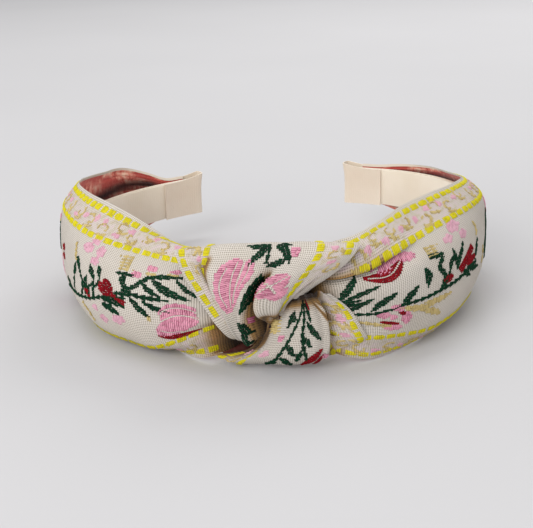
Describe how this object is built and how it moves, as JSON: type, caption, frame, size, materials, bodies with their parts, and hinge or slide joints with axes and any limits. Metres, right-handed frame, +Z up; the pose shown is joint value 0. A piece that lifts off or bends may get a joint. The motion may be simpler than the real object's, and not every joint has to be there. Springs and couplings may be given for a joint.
{
  "type": "knotted headband",
  "caption": "Wide fabric-covered spring headband with a half knot over the crown, woven floral ribbon outside and plain ribbon lining inside.",
  "frame": {"origin": "middle of the headband's footprint, on the surface that it lies on with its edge down", "axes": "+Z up, across the band's width; knot towards -Y; tips towards +Y; +X to the right as seen from the knot"},
  "size_m": [0.144, 0.1352, 0.043],
  "materials": {
    "hoop_plastic": "satin moulded",
    "lining_ribbon": "fine ribbed satin",
    "cap_ribbon": "fine ribbed satin, folded",
    "glue": "cured hot-melt adhesive",
    "brocade_ribbon": "plain cream weave with raised woven flowers"
  },
  "bodies": {
    "crown": {"hoop_crown": "hoop_plastic", "lining_crown": "lining_ribbon", "glue_knot_pad": "glue", "knot_core": "brocade_ribbon", "knot_back_band": "brocade_ribbon", "knot_upper_lobe": "brocade_ribbon", "knot_upper_tongue": "brocade_ribbon", "knot_lower_lobe": "brocade_ribbon"},
    "left_arm": {"hoop_left_arm": "hoop_plastic", "lining_left_arm": "lining_ribbon", "tip_cap_left": "cap_ribbon", "glue_left_tail": "glue", "cover_left_wing": "brocade_ribbon"},
    "right_arm": {"hoop_right_arm": "hoop_plastic", "lining_right_arm": "lining_ribbon", "tip_cap_right": "cap_ribbon", "glue_right_tail": "glue", "cover_right_wing": "brocade_ribbon"}
  },
  "joints": [
    {"name": "left_arm_flex", "type": "hinge", "parent": "crown", "child": "left_arm", "pos_m": [-0.02652, -0.04837, 0.0195], "axis": [0, 0, 1], "range_deg": [-5, 18], "stiffness_Nm_per_rad": 1},
    {"name": "right_arm_flex", "type": "hinge", "parent": "crown", "child": "right_arm", "pos_m": [0.02652, -0.04837, 0.0195], "axis": [0, 0, -1], "range_deg": [-5, 18], "stiffness_Nm_per_rad": 1}
  ]
}
